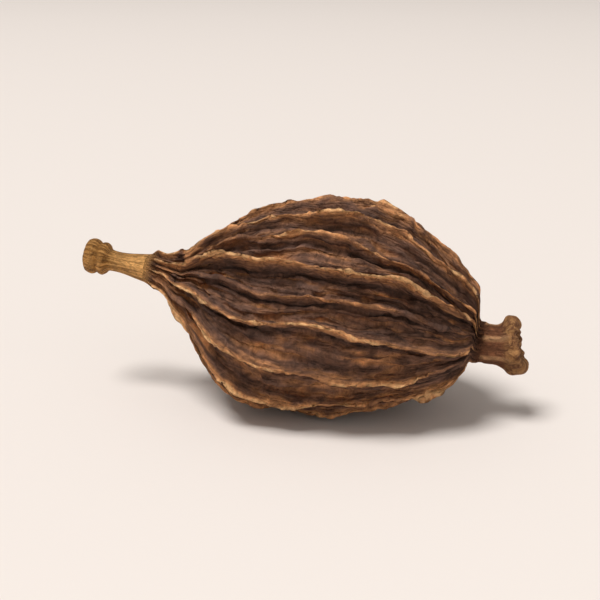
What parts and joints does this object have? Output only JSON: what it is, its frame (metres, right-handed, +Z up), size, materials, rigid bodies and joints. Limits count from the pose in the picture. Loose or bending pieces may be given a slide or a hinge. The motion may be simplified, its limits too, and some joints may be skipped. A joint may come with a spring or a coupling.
{
  "type": "black cardamom pod",
  "caption": "Dried ovoid seed pod with lengthwise ridges, a slim stalk at one end and a short flared calyx tube at the other, lying on its side.",
  "frame": {"origin": "middle of the underside of the pod's box, on the surface that the pod lies on", "axes": "+X along the pod from its stalk to its calyx, +Z up; the calyx end is tipped 8 degrees down"},
  "size_m": [0.0454, 0.0218, 0.0209],
  "materials": {
    "husk": "matte, dry and fibrous, lighter along the crests of the ridges"
  },
  "bodies": {
    "root": {"cardamom_pod": "husk"}
  },
  "joints": []
}
